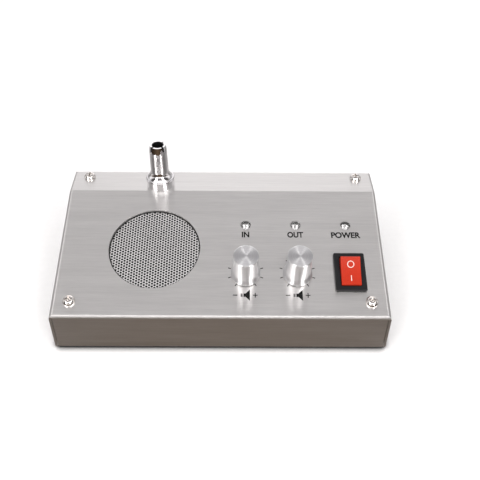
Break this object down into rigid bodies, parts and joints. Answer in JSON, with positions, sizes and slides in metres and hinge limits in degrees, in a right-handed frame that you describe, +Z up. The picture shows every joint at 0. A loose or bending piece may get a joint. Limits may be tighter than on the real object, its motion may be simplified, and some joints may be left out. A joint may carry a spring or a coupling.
{
  "type": "window intercom desk unit",
  "caption": "Desk unit of a window intercom: sloped folded-steel case with speaker grille, volume knobs, rocker switch, status lights and a socket for a gooseneck microphone.",
  "frame": {"origin": "on the ground under the middle of the whole unit's footprint, rear jacks included", "axes": "+X to the right seen from the user's side, +Y to the back, +Z up"},
  "size_m": [0.16, 0.09, 0.0673],
  "materials": {
    "cover_steel": "horizontal brushed stainless steel",
    "plated_steel": "zinc plated steel, satin",
    "nickel": "bright nickel plate",
    "chrome": "polished chrome",
    "grille_steel": "satin perforated steel",
    "black_cloth": "woven acoustic cloth",
    "foam": "dense foam",
    "rubber": "matte rubber",
    "paper_cone": "pressed paper",
    "spider_cloth": "resin-stiffened cloth",
    "copper": "enamelled copper",
    "ferrite": "sintered ferrite",
    "brass": "bare brass",
    "tinned": "tinned metal",
    "aluminium": "turned and polished aluminium",
    "phenolic": "phenolic laminate",
    "clear_lens": "clear epoxy",
    "board_green": "solder mask over glass laminate",
    "black_plastic": "fine-textured moulded nylon",
    "red_plastic": "glossy moulded polycarbonate",
    "white_plastic": "moulded nylon",
    "black_sleeve": "shrink sleeve",
    "lead_jacket": "soft vinyl jacket"
  },
  "bodies": {
    "case": {"top_cover": "cover_steel", "base_plate": "plated_steel", "front_brackets": "plated_steel", "rear_posts": "brass", "cover_screws": "nickel", "base_screws": "plated_steel", "rubber_feet": "rubber", "grille": "grille_steel", "grille_cloth": "black_cloth", "speaker_gasket": "foam", "speaker_basket": "plated_steel", "speaker_surround": "rubber", "spider": "spider_cloth", "speaker_top_plate": "plated_steel", "speaker_magnet": "ferrite", "speaker_yoke": "plated_steel", "speaker_tags": "phenolic", "speaker_clamps": "plated_steel", "speaker_nuts": "plated_steel", "pot_cases": "plated_steel", "pot_wafers": "phenolic", "pot_terminals": "tinned", "pot_washers": "plated_steel", "pot_nuts": "nickel", "led_in": "clear_lens", "led_out": "clear_lens", "led_power": "clear_lens", "led_board": "board_green", "led_board_screws": "nickel", "switch_housing": "black_plastic", "switch_blades": "brass", "mic_socket": "chrome", "socket_insulator": "black_plastic", "socket_pins": "brass", "socket_washer": "plated_steel", "socket_nut": "nickel", "main_board": "board_green", "board_standoffs": "brass", "board_screws": "nickel", "amplifier_chips": "black_plastic", "capacitors": "black_sleeve", "board_connectors": "white_plastic", "voltage_regulator": "black_plastic", "dc_jack": "black_plastic", "audio_jacks": "black_plastic", "jack_nuts": "nickel", "inner_leads": "lead_jacket"},
    "knob_in": {"volume_knob_in": "aluminium", "set_screw_in": "nickel", "pot_shaft_in": "aluminium"},
    "knob_out": {"volume_knob_out": "aluminium", "set_screw_out": "nickel", "pot_shaft_out": "aluminium"},
    "rocker": {"switch_rocker": "red_plastic", "rocker_plunger": "white_plastic", "rocker_spring": "tinned"},
    "lever": {"contact_lever": "copper"},
    "cone": {"speaker_cone": "paper_cone", "dust_cap": "paper_cone", "voice_coil": "copper"}
  },
  "joints": [
    {"name": "knob_in_turn", "type": "hinge", "parent": "case", "child": "knob_in", "pos_m": [0.0118, -0.02272, 0.02881], "axis": [0, -0.2924, 0.9563], "range_deg": [-135, 135]},
    {"name": "knob_out_turn", "type": "hinge", "parent": "case", "child": "knob_out", "pos_m": [0.0369, -0.02272, 0.02881], "axis": [0, -0.2924, 0.9563], "range_deg": [-135, 135]},
    {"name": "rocker_tilt", "type": "hinge", "parent": "case", "child": "rocker", "pos_m": [0.0623, -0.02227, 0.02937], "axis": [-1, 0, 0], "range_deg": [0, 26]},
    {"name": "lever_tilt", "type": "hinge", "parent": "case", "child": "lever", "pos_m": [0.0623, -0.0198, 0.02129], "axis": [1, 0, 0], "range_deg": [0, 20]},
    {"name": "cone_stroke", "type": "slide", "parent": "case", "child": "cone", "axis": [0, -0.2924, 0.9563], "range_m": [-0.001, 0.001], "stiffness_N_per_m": 1500, "deforming": ["speaker_surround", "spider"]}
  ],
  "couplings": [
    {"joint": "lever_tilt", "follows": "rocker_tilt", "ratio": 0.76923}
  ]
}
